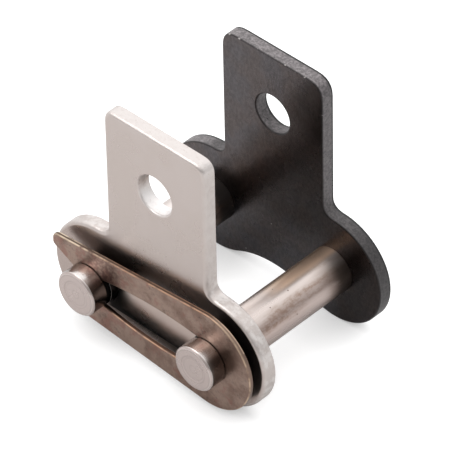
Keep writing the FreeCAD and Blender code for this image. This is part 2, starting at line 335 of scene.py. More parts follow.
class Graph:
    """A node tree that is filled by calls, from its sources to its output."""

    def __init__(self, tree: bpy.types.NodeTree) -> None:
        """Takes the tree that the calls fill, and empties it."""
        self.tree = tree
        tree.nodes.clear()

    def feed(self, socket: bpy.types.NodeSocket, value: Feed) -> None:
        """Links what goes into a socket, or sets the socket's own value.

        Args:
            socket: A node's input.
            value: A value of the tree, a list of them, or a plain one.
        """
        if isinstance(value, Value):
            self.tree.links.new(value.socket, socket)
        elif isinstance(value, list):
            for item in value:
                self.feed(socket, item)
        else:
            socket.default_value = value

    def node(self, kind: str, feeds: Optional[Mapping[Union[str, int], Feed]] = None,
             **settings: object) -> bpy.types.Node:
        """Adds a node.

        Args:
            kind: The node's type.
            feeds: What goes into its sockets, by name or number.
            settings: Its other properties.

        Returns:
            The node.
        """
        node = self.tree.nodes.new(kind)
        for name, value in settings.items():
            setattr(node, name, value)
        for name, value in (feeds or {}).items():
            self.feed(node.inputs[name], value)
        return node

    def out(self, kind: str, feeds: Optional[Mapping[Union[str, int], Feed]] = None,
            result: Union[int, str] = 0, **settings: object) -> Value:
        """Adds a node and gives one of its outputs."""
        return Value(self, self.node(kind, feeds, **settings).outputs[result])

    def math(self, operation: str, *values: Feed) -> Value:
        """The result of a Math node on the values."""
        return self.out("ShaderNodeMath", dict(enumerate(values)), operation=operation)

    def most(self, first: Feed, second: Feed) -> Value:
        """The larger of two numbers."""
        return self.math("MAXIMUM", first, second)

    def measure(self, operation: str, *vectors: Feed) -> Value:
        """The number that a Vector Math node takes from the vectors."""
        return self.out("ShaderNodeVectorMath", dict(enumerate(vectors)), "Value", operation=operation)

    def pick(self, choice: Feed, low: Feed, high: Feed) -> Value:
        """A number between low and high, as choice goes from 0 to 1."""
        return self.out("ShaderNodeMix", {"Factor": choice, 2: low, 3: high}, data_type="FLOAT")

    def vector(self, x: Feed, y: Feed, z: Feed) -> Value:
        """A vector of three numbers."""
        return self.out("ShaderNodeCombineXYZ", {"X": x, "Y": y, "Z": z})

    def parts(self, vector: Value) -> tuple[Value, Value, Value]:
        """The X, Y and Z of a vector."""
        x, y, z = self.node("ShaderNodeSeparateXYZ", {0: vector}).outputs
        return Value(self, x), Value(self, y), Value(self, z)


class ShapeTree(Graph):
    """A geometry tree with named inputs, which is baked into a plain mesh."""

    SOCKETS = {float: "NodeSocketFloat", int: "NodeSocketInt", bool: "NodeSocketBool"}

    def __init__(self, name: str, numbers: Mapping[str, float], source: str = "", finished: bool = True) -> None:
        """Opens the tree and its interface.

        Args:
            name: Name of the tree.
            numbers: Its named sizes and their first values.
            source: Name of the geometry that comes in, if any does.
            finished: Whether the tree ends as a piece with a finish, or as a part of another tree.
        """
        super().__init__(bpy.data.node_groups.new(name, "GeometryNodeTree"))
        face = self.tree.interface
        if source:
            face.new_socket(source, in_out="INPUT", socket_type="NodeSocketGeometry")
        for label, value in numbers.items():
            socket = face.new_socket(label, in_out="INPUT", socket_type=self.SOCKETS[type(value)])
            socket.default_value = value
        if finished:
            face.new_socket("Finish", in_out="INPUT", socket_type="NodeSocketMaterial")
        face.new_socket("Shape", in_out="OUTPUT", socket_type="NodeSocketGeometry")
        self.inputs = self.node("NodeGroupInput").outputs

    def given(self, label: str) -> Value:
        """What comes in by one of the tree's named inputs."""
        return Value(self, self.inputs[label])

    def keep(self, geometry: Feed, name: str, value: Feed) -> Value:
        """The geometry with a number stored on each of its points."""
        feeds = {"Geometry": geometry, "Name": name, "Value": value}
        return self.out("GeometryNodeStoreNamedAttribute", feeds, data_type="FLOAT", domain="POINT")

    def read(self, name: str) -> Value:
        """A number that is stored on the points."""
        return self.out("GeometryNodeInputNamedAttribute", {"Name": name}, data_type="FLOAT")

    def place(self, geometry: Feed, position: Feed) -> Value:
        """The geometry with its points put elsewhere."""
        return self.out("GeometryNodeSetPosition", {"Geometry": geometry, "Position": position})

    def close(self, geometry: Feed) -> None:
        """Welds, smooths and finishes the shape, and ends the tree with it.

        Args:
            geometry: The shape, in millimetres.
        """
        welded = self.out("GeometryNodeMergeByDistance", {"Geometry": geometry, "Distance": SAME_POINT})
        shrunk = self.out("GeometryNodeTransform", {"Geometry": welded, "Scale": (MM, MM, MM)})
        smooth = self.out("GeometryNodeSetShadeSmooth", {"Geometry": shrunk})
        real = self.out("GeometryNodeRealizeInstances", {"Geometry": smooth})
        finished = self.out("GeometryNodeSetMaterial", {"Geometry": real, "Material": self.given("Finish")})
        self.node("NodeGroupOutput", {"Shape": finished})

    def bake(self, drawing: bpy.types.Object, name: str, numbers: Mapping[str, float],
             finish: bpy.types.Material) -> bpy.types.Object:
        """Runs the tree on a drawing and keeps the result as a plain mesh.

        Args:
            drawing: The curve that the tree reads; it is used up.
            name: Name of the piece.
            numbers: Values of the tree's named sizes.
            finish: The piece's material.

        Returns:
            The piece, at the origin.
        """
        sockets = {s.name: s.identifier for s in self.tree.interface.items_tree if s.in_out == "INPUT"}
        modifier = drawing.modifiers.new("shape", "NODES")
        modifier.node_group = self.tree
        for label, value in numbers.items():
            modifier[sockets[label]] = value
        modifier[sockets["Finish"]] = finish
        solved = drawing.evaluated_get(bpy.context.evaluated_depsgraph_get())
        mesh = bpy.data.meshes.new_from_object(solved)
        drawing.modifiers.remove(modifier)
        bpy.data.objects.remove(drawing)
        return settled(name, mesh)


def settled(name: str, mesh: bpy.types.Mesh) -> bpy.types.Object:
    """Turns a closed mesh's faces outwards and keeps its hard corners crisp.

    Args:
        name: Name of the piece.
        mesh: Its mesh.

    Returns:
        The piece, in the scene.
    """
    shape = bmesh.new()
    shape.from_mesh(mesh)
    bmesh.ops.recalc_face_normals(shape, faces=shape.faces)
    shape.to_mesh(mesh)
    shape.free()
    mesh.set_sharp_from_angle(angle=HARD_CORNER)
    mesh.name = name
    log.info("%s: %d points, %d faces", name, len(mesh.vertices), len(mesh.polygons))
    return shown(name, mesh)


def edge_profile_tree() -> bpy.types.NodeTree:
    """The section of a plate's edge: a land, a quarter round, the wall, and the same behind.

    Returns:
        A tree whose curve has its distance outwards in X and its depth in -Y.
    """
    graph = ShapeTree("edge_profile", {"Thickness": 1.0, "Front Round": 0.1, "Back Round": 0.1,
                                       "Round Steps": 4, "Land": 0.03}, finished=False)
    steps, land = graph.given("Round Steps"), graph.given("Land")
    per_side = steps + 3.0
    line = graph.out("GeometryNodeMeshLine", {"Count": per_side * 2.0})
    index = graph.out("GeometryNodeInputIndex")
    step = graph.math("MINIMUM", index, per_side * 2.0 - 1.0 - index)
    in_front = index < per_side
    radius = graph.pick(in_front, graph.given("Back Round"), graph.given("Front Round"))
    share = graph.math("MINIMUM", graph.most((step - 1.0) / steps, 0.0), 1.0)
    turn = share * (math.pi / 2)
    inset = radius * (1.0 - graph.math("SINE", turn)) + (step < 0.5) * land
    depth = radius * (1.0 - graph.math("COSINE", turn)) + (step > steps + 1.5) * land
    station = graph.pick(in_front, graph.given("Thickness") - depth, depth)
    section = graph.place(line, graph.vector(inset * -1.0, station * -1.0, 0.0))
    section = graph.keep(section, Mark.ARRIS.value, graph.math("SINE", turn * 2.0))
    section = graph.keep(section, Mark.CUT.value, share)
    graph.node("NodeGroupOutput", {"Shape": graph.out("GeometryNodeMeshToCurve", {0: section})})
    return graph.tree


def blank_tree() -> ShapeTree:
    """A flat blank whose eased edge follows its outline and holes.

    Returns:
        The tree, which takes sizes in millimetres and splines that carry an Edge's number.
    """
    graph = ShapeTree("pressed_blank", {
        "Thickness": 1.0, "Front Round": 0.1, "Back Round": 0.1, "Tab Hole Round": 0.1,
        "Tab Hole Back Round": 0.1, "Pin Hole Round": 0.05, "Round Steps": 4, "Land": 0.03,
        "Front Station": 0.0, "Pitch Height": 0.0}, source="Outline")
    profile = edge_profile_tree()
    marked = graph.keep(graph.given("Outline"), "kind", graph.out("GeometryNodeInputRadius"))
    even = graph.out("GeometryNodeSetCurveRadius", {"Curve": marked, "Radius": 1.0})
    upright = graph.out("GeometryNodeSetCurveNormal", {"Curve": even}, mode="Z_UP")
    kind = graph.read("kind")
    outside, tab_hole, pin_hole = (edge.value for edge in Edge)
    is_outside = kind > (outside + tab_hole) / 2
    is_pin_hole = kind < (tab_hole + pin_hole) / 2
    is_tab_hole = 1.0 - is_outside - is_pin_hole
    shapes = []
    for chosen, front, back in ((is_outside, "Front Round", "Back Round"),
                                (is_tab_hole, "Tab Hole Round", "Tab Hole Back Round"),
                                (is_pin_hole, "Pin Hole Round", "Pin Hole Round")):
        curves = graph.out("GeometryNodeSeparateGeometry", {"Geometry": upright, "Selection": chosen},
                           "Selection", domain="CURVE")
        sizes = {label: graph.given(label) for label in ("Thickness", "Round Steps", "Land")}
        sizes.update({"Front Round": graph.given(front), "Back Round": graph.given(back)})
        section = graph.out("GeometryNodeGroup", sizes, node_tree=profile)
        shapes.append(graph.out("GeometryNodeCurveToMesh", {"Curve": curves, "Profile Curve": section}))
    normal = graph.out("GeometryNodeInputNormal")
    for side, of_hole, depth in (("Front Round", "Tab Hole Round", 0.0),
                                 ("Back Round", "Tab Hole Back Round", graph.given("Thickness"))):
        inset = graph.pick(is_tab_hole, graph.given(side), graph.given(of_hole))
        inset = graph.pick(is_pin_hole, inset, graph.given("Pin Hole Round")) + graph.given("Land")
        offset = graph.out("ShaderNodeVectorMath", {0: normal, "Scale": inset * -1.0}, operation="SCALE")
        rim = graph.out("GeometryNodeSetPosition", {"Geometry": upright, "Offset": offset})
        face = graph.out("GeometryNodeFillCurve", {"Curve": rim}, mode="TRIANGLES")
        sunk = {"Geometry": face, "Translation": graph.vector(0.0, 0.0, depth)}
        shapes.append(graph.out("GeometryNodeTransform", sunk))
    joined = graph.out("GeometryNodeJoinGeometry", {0: shapes[::-1]})
    across, up, deep = graph.parts(graph.out("GeometryNodeInputPosition"))
    graph.close(graph.place(joined, graph.vector(across, deep + graph.given("Front Station"),
                                                 up + graph.given("Pitch Height"))))
    return graph


def turned_tree() -> ShapeTree:
    """A turned part from its half section, with fine facing rings on its free end.

    The section has the radius in X and the station in Y, and carries the wear of its corners.

    Returns:
        The tree, which takes sizes in millimetres.
    """
    graph = ShapeTree("turned_pin", {
        "Segments": 128, "Ring Pitch": 0.4, "Ring Depth": 0.005, "Ring Zone": 0.1, "Axis X": 0.0,
        "Front Station": 0.0, "Pitch Height": 0.0}, source="Section")
    radius, station, _ = graph.parts(graph.out("GeometryNodeInputPosition"))
    swing = graph.math("COSINE", radius * math.tau / graph.given("Ring Pitch"))
    dip = (0.5 - swing * 0.5) * graph.given("Ring Depth")
    dipped = station + dip * (station < graph.given("Ring Zone"))
    section = graph.keep(graph.given("Section"), "turned_radius", radius)
    section = graph.keep(section, "turned_station", dipped)
    section = graph.keep(section, Mark.ARRIS.value, graph.out("GeometryNodeInputRadius"))
    section = graph.out("GeometryNodeSetCurveRadius", {"Curve": section, "Radius": 1.0})
    section = graph.place(section, graph.vector(0.0, 0.0, graph.out("GeometryNodeInputIndex")))
    round_once = {"Resolution": graph.given("Segments"), "Radius": 1.0}
    circle = graph.out("GeometryNodeCurvePrimitiveCircle", round_once)
    tube = graph.out("GeometryNodeCurveToMesh", {"Curve": section, "Profile Curve": circle})
    across, up, _ = graph.parts(graph.out("GeometryNodeInputPosition"))
    radius, along = graph.read("turned_radius"), graph.read("turned_station")
    graph.close(graph.place(tube, graph.vector(across * radius + graph.given("Axis X"),
                                               along + graph.given("Front Station"),
                                               up * radius + graph.given("Pitch Height"))))
    return graph


# Finishes


class Surface(Graph):
    """A material's node tree: patterns that the finishes share, and a colour laid coat by coat."""

    def __init__(self, name: str) -> None:
        """Opens an empty material.

        Args:
            name: Name of the material.
        """
        self.material = bpy.data.materials.new(name)
        self.material.use_nodes = True
        super().__init__(self.material.node_tree)
        self.where = self.out("ShaderNodeTexCoord", result="Object")
        self.x, self.y, self.z = self.parts(self.where)
        self.colour: Optional[Value] = None
        self.normal: Optional[Value] = None

    def noise(self, size: float, detail: float = 3.0, stretch: Triple = (1.0, 1.0, 1.0),
              rough: float = 0.5, shift: Triple = (0.0, 0.0, 0.0)) -> Value:
        """A cloudy pattern.

        Args:
            size: Width of its patches, in metres.
            detail: How many finer layers it has.
            stretch: How much finer it is along X, Y and Z.
            rough: Strength of the finer layers.
            shift: Offset of the pattern, in metres.

        Returns:
            A number about 0.5.
        """
        spread = self.out("ShaderNodeMapping", {"Vector": self.where, "Location": shift, "Scale": stretch})
        feeds = {"Vector": spread, "Scale": 1.0 / size, "Detail": detail, "Roughness": rough}
        return self.out("ShaderNodeTexNoise", feeds)

    def spots(self, size: float, cover: float) -> Value:
        """Scattered round spots, 1 at their middles; cover is their radius as a share of a cell."""
        cells = self.out("ShaderNodeTexVoronoi", {"Vector": self.where, "Scale": 1.0 / size}, "Distance")
        return cells.span(cover, cover * 0.5)

    def mark(self, name: Mark) -> Value:
        """A number that the mesh carries."""
        return self.out("ShaderNodeAttribute", result="Fac", attribute_name=name.value)

    def away(self, point: Triple) -> Value:
        """The distance from a point of the piece."""
        return self.measure("DISTANCE", self.where, point)

    def grey(self, tone: Value) -> Value:
        """The same tone in red, green and blue."""
        return self.vector(tone, tone, tone)

    def blend(self, share: Feed, low: Feed, high: Feed, how: str = "MIX") -> Value:
        """A colour between two, or one laid over the other in another way.

        Args:
            share: How much of the second there is, from 0 to 1.
            low: The first colour.
            high: The second one.
            how: The way in which they mix.

        Returns:
            The colour.
        """
        low, high = ((*c, 1.0) if isinstance(c, tuple) else c for c in (low, high))
        return self.out("ShaderNodeMix", {"Factor": share, 6: low, 7: high}, 2, data_type="RGBA", blend_type=how)

    def lay(self, share: Feed, colour: Feed, how: str = "MIX") -> None:
        """Lays a colour over the coats below it, by a share from 0 to 1."""
        self.colour = self.blend(share, self.colour, colour, how)

    def emboss(self, height: Value, depth: float, strength: Feed) -> None:
        """Adds a relief to those below it.

        Args:
            height: The pattern that stands up, from 0 to 1.
            depth: How high it stands, in metres.
            strength: How much of it shows.
        """
        feeds = {"Strength": strength, "Distance": depth, "Height": height}
        if self.normal is not None:
            feeds["Normal"] = self.normal
        self.normal = self.out("ShaderNodeBump", feeds)

    def close(self, roughness: Feed, metallic: Feed = 1.0) -> bpy.types.Material:
        """Ends the tree with one surface shader.

        Args:
            roughness: How dull the surface is.
            metallic: Where it is bare metal.

        Returns:
            The material.
        """
        shader = self.out("ShaderNodeBsdfPrincipled", {
            "Base Color": self.colour, "Metallic": metallic, "Roughness": roughness, "Normal": self.normal})
        self.node("ShaderNodeOutputMaterial", {"Surface": shader})
        return self.material


@dataclass(frozen=True)
class SatinNickel:
    """Nickel plate on a tumbled pressing: smooth, warm and soft on its faces, mottled on its edges.

    A brown band of painted shade lies along the pitch line about the clip, and between its legs a pale painted
    reflection lies over painted shade.
    """

    face: Colour = (0.520, 0.456, 0.430)
    shade: Colour = (0.500, 0.434, 0.404)
    wall: Colour = (0.555, 0.502, 0.478)
    bright: Colour = (0.670, 0.630, 0.610)
    painted_highlight: Colour = (0.860, 0.830, 0.820)
    painted_shade_brown: Colour = (0.400, 0.325, 0.296)
    slot_shade: Colour = (0.044, 0.039, 0.037)
    strip: Colour = (0.590, 0.490, 0.446)
    roughness: float = 0.28
    front_half: float = -0.009
    clip_middle_height: float = 0.0075
    painted_shade_reach: Point = (0.0075, 0.0048)
    slot_right: Point = (0.0078, 0.0060)
    slot_left: Point = (-0.0086, -0.0076)
    slot_height: float = 0.0034
    slot_lean: float = 0.10
    slot_shade_heights: Point = (0.0052, 0.0041)
    slot_shade_left: Point = (-0.0040, -0.0064)
    lobe_heights: Point = (0.0190, 0.0150)
    bore: Triple = (0.0, -0.0084, 0.0258)
    bore_reach: Point = (0.0034, 0.0030)
    bore_light: Point = (0.0256, 0.0240)
    top_edge: Point = (0.0322, 0.0338)

    def material(self) -> bpy.types.Material:
        """Builds the finish.

        Returns:
            The material.
        """
        s = Surface("satin_nickel")
        cut = s.mark(Mark.CUT)
        clouds = s.noise(0.006, 3.0)
        in_front = (s.y < self.front_half) * (1.0 - cut)
        height = abs(s.z - self.clip_middle_height)
        s.colour = s.blend(clouds.span(0.35, 0.65), self.shade, self.face)
        # Painted shade: a brown band along the pitch line, where the clip stands off the face.
        painted_shade_brown = ((clouds - 0.5) * 0.002 + height).span(*self.painted_shade_reach) * in_front
        s.lay(painted_shade_brown * 0.85, self.painted_shade_brown)
        # Painted reflection between the clip's legs: a pale strip, with painted shade below it and towards the
        # left pin.
        in_slot = s.x.span(*self.slot_right) * s.x.span(*self.slot_left)
        in_slot = in_slot * in_front * (height < self.slot_height)
        slot_shaded = (s.x * self.slot_lean + s.z).span(*self.slot_shade_heights)
        slot_shaded = s.most(slot_shaded, s.x.span(*self.slot_shade_left))
        s.lay(in_slot, s.blend(slot_shaded, self.strip, self.slot_shade))
        s.lay(cut, self.edge(s))
        # Dark flecks on the edge, in the same brown as the painted shade.
        flecks = s.noise(0.00045, 3.0, rough=0.7).span(0.58, 0.68) * cut
        s.lay(flecks * 0.25, self.painted_shade_brown)
        s.emboss(s.noise(0.0013, 3.0, rough=0.6), 0.00018, cut * 0.8)
        s.emboss(s.noise(0.005, 1.0), 0.00006, 0.2)
        return s.close((clouds - 0.5) * 0.10 + self.roughness + cut * 0.14)

    def edge(self, s: Surface) -> Value:
        """The tumbled edge: mottled on the lobes, plainer on the tab, with a painted highlight on top and low in
        the tab's hole.

        Args:
            s: The material's tree.

        Returns:
            The edge's colour.
        """
        mottle = s.noise(0.0011, 4.0, rough=0.62).span(0.40, 0.62)
        mottle = s.pick(s.z.span(*self.lobe_heights), mottle * 0.25 + 0.05, mottle)
        # Painted highlight: the lower half of the tab's hole and the top edge are lightened.
        in_bore = s.away(self.bore).span(*self.bore_reach) * s.z.span(*self.bore_light)
        lightened = s.most(in_bore, s.z.span(*self.top_edge) * 0.28)
        return s.blend(lightened, s.blend(mottle, self.wall, self.bright), self.painted_highlight)


@dataclass(frozen=True)
class BlackOxide:
    """Black oxide on a stamped pressing: a dark brown sheen with painted reflections, and grey sheared edges with
    painted shade and a painted highlight.
    """

    sheen: Colour = (0.094, 0.083, 0.083)
    dim_reflection: Colour = (0.051, 0.0435, 0.042)
    lighter_reflection: Colour = (0.082, 0.076, 0.078)
    dark_reflection: Colour = (0.013, 0.010, 0.009)
    warm_hue: Colour = (1.0, 0.945, 0.92)
    cool_hue: Colour = (0.95, 0.98, 1.03)
    sheared: Colour = (0.112, 0.100, 0.103)
    crown: Colour = (0.200, 0.180, 0.184)
    foot: Colour = (0.042, 0.037, 0.038)
    toe: Colour = (0.085, 0.076, 0.078)
    black: Colour = (0.006, 0.005, 0.005)
    speck: Colour = (0.45, 0.42, 0.41)
    roughness: float = 0.27
    dim_reflection_edge: tuple[Point, Point] = ((-0.0070, 0.0140), (0.0010, 0.0260))
    dim_reflection_reach: Point = (-0.0018, 0.0008)
    dark_reflection_spot: Triple = (0.0095, 0.0103, 0.0290)
    dark_reflection_reach: Point = (0.0072, 0.0015)
    lighter_reflection_heights: Point = (0.0125, 0.0080)
    lighter_reflection_width: Point = (0.0112, 0.0090)
    toe_heights: Point = (0.0060, 0.0035)
    sheared_heights: Point = (0.0130, 0.0175)
    left_lobe: Point = (-0.0098, -0.0116)
    top_edge: Point = (0.0332, 0.0341)
    speck_heights: Point = (0.028, 0.032)
    back_arris: float = 0.01200
    arris_fade: float = 0.00008

    def material(self) -> bpy.types.Material:
        """Builds the finish.

        Returns:
            The material.
        """
        s = Surface("black_oxide")
        clouds, grain = s.noise(0.005, 4.0), s.noise(0.00030, 3.0, (1.0, 1.0, 0.6), 0.65)
        cut, arris = s.mark(Mark.CUT), s.mark(Mark.ARRIS)
        # Painted reflection: darker beyond a wandering diagonal, lighter low in the middle, and darkest in a spot
        # at the upper right.
        s.colour = s.blend(self.dim_reflection_share(s, clouds), self.sheen, self.dim_reflection)
        s.lay(s.z.span(*self.lighter_reflection_heights) * abs(s.x).span(*self.lighter_reflection_width), self.lighter_reflection)
        s.lay(((clouds - 0.5) * 0.004 + s.away(self.dark_reflection_spot)).span(*self.dark_reflection_reach), self.dark_reflection)
        hue = s.noise(0.0032, 3.0, shift=(0.02, 0.0, 0.0)).span(0.36, 0.64)
        s.lay(0.9, s.blend(hue, self.warm_hue, self.cool_hue), "MULTIPLY")
        s.lay(1.0, s.grey(s.pick(grain.span(0.3, 0.7), 0.82, 1.18)), "MULTIPLY")
        s.lay(s.spots(0.0023, 0.045) * clouds.span(0.5, 0.6), self.speck)
        pits = s.spots(0.0009, 0.12) * cut
        s.lay(cut, s.blend(pits, self.edge(s), self.black))
        ragged = s.noise(0.0009, 3.0, rough=0.6) * 0.00022 + s.y
        s.lay(ragged.span(self.back_arris, self.back_arris + self.arris_fade) * cut, self.black)
        s.lay(arris * 0.75, self.black)
        # Pale specks on the arrises near the top.
        lightened = arris * s.noise(0.0008, 3.0).span(0.60, 0.66)
        s.lay(lightened * s.z.span(*self.speck_heights), self.speck)
        s.emboss(grain, 0.00003, 0.5)
        s.emboss(s.noise(0.0012, 3.0), 0.00005, 0.35)
        s.emboss(1.0 - pits, 0.00008, 0.6)
        return s.close((clouds - 0.5) * 0.12 + self.roughness + cut * 0.20, 1.0 - cut)

    def dim_reflection_share(self, s: Surface, clouds: Value) -> Value:
        """How much of the painted darker reflection lies on the face.

        Args:
            s: The material's tree.
            clouds: The pattern that makes the painted reflection's edge wander.

        Returns:
            0 on the brighter side of the edge, 1 beyond it.
        """
        (x, z), (end_x, end_z) = self.dim_reflection_edge
        length = math.hypot(end_x - x, end_z - z)
        away = (s.x - x) * ((end_z - z) / length) + (s.z - z) * ((x - end_x) / length)
        return ((clouds - 0.5) * 0.003 + away).span(*self.dim_reflection_reach)

    def edge(self, s: Surface) -> Value:
        """The sheared edge: painted shade about the foot, greyer up the tab, and a painted highlight on top and on
        the left lobe.

        Args:
            s: The material's tree.

        Returns:
            The edge's colour, sandy all over.
        """
        # Lighter with height: painted shade low down, and a painted highlight on top and on the left lobe.
        wear_and_painted_light = s.blend(s.z.span(*self.toe_heights), self.foot, self.toe)
        wear_and_painted_light = s.blend(s.z.span(*self.sheared_heights), wear_and_painted_light, self.sheared)
        wear_and_painted_light = s.blend(s.x.span(*self.left_lobe) * 0.7, wear_and_painted_light, self.crown)
        wear_and_painted_light = s.blend(s.z.span(*self.top_edge), wear_and_painted_light, self.crown)
        patchy = s.pick(s.noise(0.0005, 4.0, rough=0.7).span(0.34, 0.62), 0.62, 1.0)
        sand = s.pick(s.noise(0.00030, 2.0, rough=0.7).span(0.38, 0.62), 0.72, 1.32)
        return s.blend(1.0, s.blend(patchy, self.black, wear_and_painted_light), s.grey(sand), "MULTIPLY")


@dataclass(frozen=True)
class GroundSteel:
    """Centreless ground pin steel: lengthways tan streaks over pale satin, tiny pits, faced ends."""

    bare: Colour = (0.620, 0.545, 0.512)
    tan: Colour = (0.370, 0.272, 0.222)
    lit: Colour = (0.690, 0.600, 0.560)
    pale: Colour = (0.730, 0.675, 0.655)
    warm: Colour = (0.990, 0.725, 0.540)
    shaded: Colour = (0.81, 0.765, 0.755)
    stain: Colour = (0.150, 0.105, 0.084)
    scale: Colour = (0.052, 0.037, 0.029)
    crest: Colour = (0.690, 0.645, 0.625)
    dark_side_reflection: Colour = (0.105, 0.085, 0.076)
    rear_end_shade: Colour = (0.065, 0.056, 0.052)
    black: Colour = (0.022, 0.019, 0.018)
    faced: Colour = (0.505, 0.428, 0.404)
    turned: Colour = (0.400, 0.335, 0.315)
    rim: Colour = (0.68, 0.63, 0.60)
    roughness: float = 0.30
    axis: Point = (0.009525, 0.0075)
    face_station: float = -0.0132
    face_fade: float = 0.0001
    clip_side: Point = (-0.0086, -0.0096)
    seat: Point = (-0.01128, -0.01112)
    rim_stations: Point = (-0.0122, -0.0118)
    warmed: Point = (-0.0016, 0.0030)
    stain_and_shade_stations: Point = (0.0044, 0.0088)
    scaled: Point = (0.0068, 0.0090)
    rear_end_shaded: Point = (0.0078, 0.0088)
    rear_seat: float = 0.01036
    dark_side_way: Point = (0.995, 0.100)
    crest_way: Point = (0.174, 0.985)
    far_way: Point = (-0.766, 0.643)
    upper_way: Point = (-0.574, 0.819)
    lower_way: Point = (0.866, -0.500)
    tool_lines: tuple[Point, ...] = ((0.00055, 0.6), (0.00150, 0.5), (0.00182, 0.9), (0.00262, 0.9))
    tool_line_width: Point = (0.00014, 0.00002)

    def material(self) -> bpy.types.Material:
        """Builds the finish, from the ground side to the faced end.

        Returns:
            The material.
        """
        s = Surface("ground_steel")
        streaks = s.noise(0.0016, 3.0, (1.0, 0.14, 1.0), 0.55)
        clouds = s.noise(0.0022, 4.0, (1.0, 0.5, 1.0), 0.6)
        speckle = s.noise(0.0004, 3.0, (1.0, 0.6, 1.0), 0.7, (0.0, 0.01, 0.0)).span(0.38, 0.62)
        # A brown stain towards the rear plate, with painted shade making it stronger on the lower side.
        stain_and_shade = s.y.span(*self.stain_and_shade_stations) * s.pick(clouds.span(0.30, 0.56), 0.45, 1.0)
        stain_and_shade = stain_and_shade * s.pick(self.facing(s, self.lower_way).span(-0.45, 0.35), 0.35, 1.0)
        near_clip = s.y.span(*self.clip_side)
        s.colour = s.blend(streaks.span(0.36, 0.66) * s.pick(speckle, 0.50, 1.0), self.bare, self.tan)
        self.between_plates(s, streaks, stain_and_shade, 1.0 - near_clip)
        self.beside_clip(s, near_clip)
        # Painted shade on the left pin's stretch next to the rear plate, between the plates.
        rear_end_shaded = s.y.span(*self.rear_end_shaded) * (s.x < 0.0)
        s.lay(rear_end_shaded * (s.y < self.rear_seat), self.rear_end_shade)
        pits = s.spots(0.0012, 0.11) * clouds.span(0.36, 0.50)
        s.lay(pits * 0.85, self.stain)
        end, lines = s.y.span(self.face_station, self.face_station - self.face_fade), self.end_lines(s)
        s.lay(end, s.blend(lines * 0.6, self.faced, self.turned))
        s.lay(s.mark(Mark.ARRIS) * s.pick(s.y.span(*self.rim_stations), 0.6, 0.2), self.rim)
        s.emboss(s.noise(0.0012, 2.0, (0.3, 4.0, 0.3)), 0.000006, 0.3)
        s.emboss(1.0 - pits, 0.00003, 0.6)
        s.emboss(1.0 - lines * end, 0.00002, 0.5)
        dulled = (streaks - 0.5) * 0.16 + self.roughness + stain_and_shade * 0.10
        return s.close(dulled + end * 0.06 + near_clip * -0.07)

    def between_plates(self, s: Surface, streaks: Value, stain_and_shade: Value, between: Value) -> None:
        """Colours the running side: a painted highlight above, a painted warm reflection on the right pin's far
        side, painted shade below, and a stain with painted shade at the rear.

        Args:
            s: The material's tree.
            streaks: The lengthways streaks.
            stain_and_shade: The stain at the rear plate.
            between: 1 behind the clip.
        """
        on_left = s.x < 0.0
        # Painted highlight on the upper side: lit on the right pin, pale on the left.
        upper = self.facing(s, self.upper_way).span(0.68, 0.88) * between
        s.lay(upper * s.pick(streaks, 1.0, 0.4), s.blend(on_left, self.lit, self.pale))
        # Painted warm reflection on the right pin's far side.
        warmed = self.facing(s, self.far_way).span(0.42, 0.66) * s.y.span(*self.warmed)
        s.lay(warmed * (1.0 - on_left) * (s.y < self.rear_seat), self.warm)
        lower = self.facing(s, self.lower_way).span(0.05, 0.42) * between
        s.lay(lower, self.shaded, "MULTIPLY")
        s.lay(stain_and_shade * 0.90, s.blend(s.y.span(*self.scaled), self.stain, self.scale))

    def beside_clip(self, s: Surface, near_clip: Value) -> None:
        """Colours the free end's side: a painted highlight on its crest, painted dark reflections to its left and
        right, and a painted shadow where it meets the clip.

        Args:
            s: The material's tree.
            near_clip: 1 from the clip to the free end.
        """
        s.lay(near_clip * 0.6, self.bare)
        # Painted highlight along the crest.
        s.lay(self.facing(s, self.crest_way).span(0.78, 0.95) * near_clip, self.crest)
        # Painted dark reflections on the sides.
        dark_side_reflected = self.facing(s, self.dark_side_way).span(0.58, 0.84) * near_clip
        far = self.facing(s, self.far_way).span(0.82, 0.96) * near_clip
        s.lay(s.most(dark_side_reflected, far * 0.72) * 0.90, self.dark_side_reflection)
        # Painted shadow where the pin meets the clip.
        s.lay(s.y.span(*self.seat) * near_clip, self.black)

    def facing(self, s: Surface, way: Point) -> Value:
        """How much a pin's side faces a way across its axis.

        Args:
            s: The material's tree.
            way: The way's X and Z.

        Returns:
            A number from -1 to 1.
        """
        middle = s.math("SIGN", s.x) * self.axis[0]
        outward = s.vector(s.x - middle, 0.0, s.z - self.axis[1])
        straight = s.out("ShaderNodeVectorMath", {0: outward}, operation="NORMALIZE")
        return s.measure("DOT_PRODUCT", straight, (way[0], 0.0, way[1]))

    def end_lines(self, s: Surface) -> Value:
        """The faint rings that the facing tool leaves about a pin's axis.

        Args:
            s: The material's tree.

        Returns:
            A number from 0 to 1.
        """
        radius = s.measure("LENGTH", s.vector(abs(s.x) - self.axis[0], 0.0, s.z - self.axis[1]))
        lines: Feed = 0.0
        for where, strength in self.tool_lines:
            lines = s.most(lines, abs(radius - where).span(*self.tool_line_width) * strength)
        return lines


